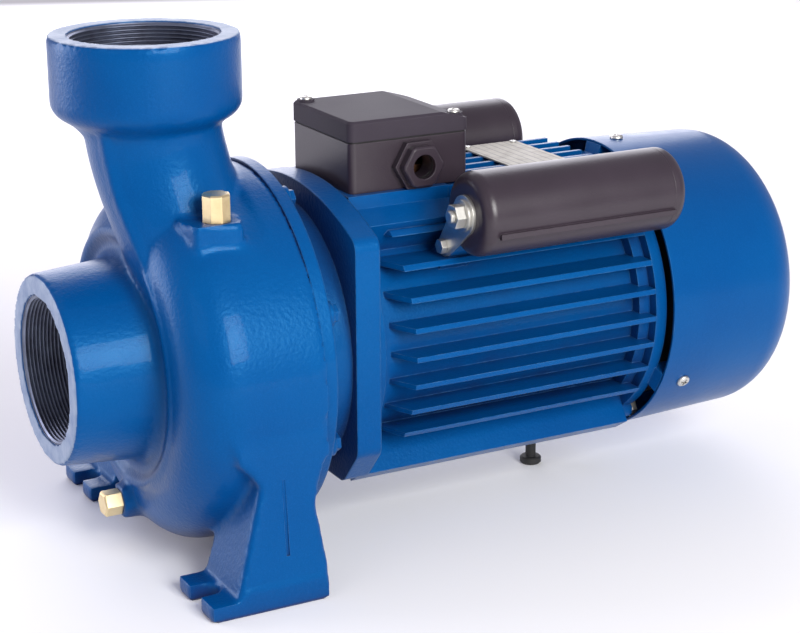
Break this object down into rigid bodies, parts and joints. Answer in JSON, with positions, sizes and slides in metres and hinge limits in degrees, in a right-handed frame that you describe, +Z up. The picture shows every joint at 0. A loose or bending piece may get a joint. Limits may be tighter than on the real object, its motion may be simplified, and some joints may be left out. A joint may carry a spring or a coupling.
{
  "type": "centrifugal water pump",
  "caption": "Close-coupled single-stage centrifugal water pump: end-suction cast volute with top discharge, finned motor with fan cover, terminal box and capacitors.",
  "frame": {"origin": "centre of the suction port's mouth, on the shaft axis", "axes": "+X along the shaft from the suction port to the fan cover, +Z up along the discharge port, +Y across the pump"},
  "size_m": [0.489, 0.252, 0.3142],
  "materials": {
    "casing_blue": "gloss blue paint on rough cast iron",
    "motor_blue": "gloss blue paint on die-cast aluminium",
    "cover_blue": "gloss blue paint on pressed sheet steel",
    "iron": "bare machined cast iron",
    "stainless": "ground stainless steel",
    "zinc_steel": "zinc-plated steel",
    "laminations": "stacked electrical steel sheets",
    "copper": "enamelled copper wire, varnished",
    "brass": "turned brass, slightly tarnished",
    "bare_aluminium": "bare aluminium",
    "black_plastic": "semi-gloss black moulded plastic",
    "cage_nylon": "glass-filled nylon",
    "fan_nylon": "black nylon moulding",
    "board_resin": "brown moulded resin",
    "black_rubber": "black nitrile rubber",
    "carbon": "carbon graphite in a steel shell",
    "ceramic": "white alumina ceramic"
  },
  "bodies": {
    "pump": {"pump_casing": "casing_blue", "motor_bracket": "casing_blue", "casing_seal": "black_rubber", "casing_bolts": "zinc_steel", "seal_seat": "ceramic", "front_bearing_outer": "stainless", "rear_bearing_outer": "stainless", "motor_frame": "motor_blue", "stator_core": "laminations", "stator_windings": "copper", "rear_end_shield": "motor_blue", "wave_washer": "stainless", "tie_rods": "zinc_steel", "fan_cover": "cover_blue", "fan_cover_screws": "zinc_steel", "terminal_box": "black_plastic", "terminal_box_gasket": "black_rubber", "terminal_box_lid": "black_plastic", "lid_screws": "zinc_steel", "terminal_board": "board_resin", "terminal_studs": "brass", "earth_screw": "brass", "cable_gland": "black_plastic", "gland_seal": "black_rubber", "gland_nut": "black_plastic", "near_capacitor": "bare_aluminium", "near_capacitor_sleeve": "black_plastic", "near_capacitor_cap": "black_plastic", "far_capacitor": "bare_aluminium", "far_capacitor_sleeve": "black_plastic", "far_capacitor_cap": "black_plastic", "capacitor_straps": "zinc_steel", "capacitor_washers": "zinc_steel", "capacitor_nuts": "zinc_steel", "capacitor_studs": "zinc_steel", "strap_screws": "zinc_steel", "nameplate": "bare_aluminium", "nameplate_rivets": "bare_aluminium", "support_foot": "black_rubber"},
    "rotor": {"shaft": "stainless", "shaft_key": "stainless", "impeller": "iron", "impeller_washer": "stainless", "impeller_nut": "stainless", "seal_head": "carbon", "seal_spring": "stainless", "water_flinger": "black_rubber", "front_bearing_inner": "stainless", "rear_bearing_inner": "stainless", "rotor_core": "laminations", "rotor_end_rings": "bare_aluminium", "cooling_fan": "fan_nylon", "fan_clip": "stainless"},
    "front_ball_set": {"front_bearing_balls": "stainless", "front_bearing_cage": "cage_nylon"},
    "rear_ball_set": {"rear_bearing_balls": "stainless", "rear_bearing_cage": "cage_nylon"},
    "vent_plug": {"vent_plug": "brass"},
    "drain_plug": {"drain_plug": "brass"}
  },
  "joints": [
    {"name": "rotor_spin", "type": "hinge", "parent": "pump", "child": "rotor", "pos_m": [0.2, 0, 0], "axis": [1, 0, 0], "continuous": true},
    {"name": "front_balls_roll", "type": "hinge", "parent": "pump", "child": "front_ball_set", "pos_m": [0.1655, 0, 0], "axis": [1, 0, 0], "continuous": true},
    {"name": "rear_balls_roll", "type": "hinge", "parent": "pump", "child": "rear_ball_set", "pos_m": [0.367, 0, 0], "axis": [1, 0, 0], "continuous": true},
    {"name": "vent_plug_lift", "type": "slide", "parent": "pump", "child": "vent_plug", "axis": [0, 0, 1], "range_m": [0, 0.026]},
    {"name": "drain_plug_draw", "type": "slide", "parent": "pump", "child": "drain_plug", "axis": [-1, 0, 0], "range_m": [0, 0.022]}
  ],
  "couplings": [
    {"joint": "front_balls_roll", "follows": "rotor_spin", "ratio": 0.3969},
    {"joint": "rear_balls_roll", "follows": "rotor_spin", "ratio": 0.3815}
  ]
}
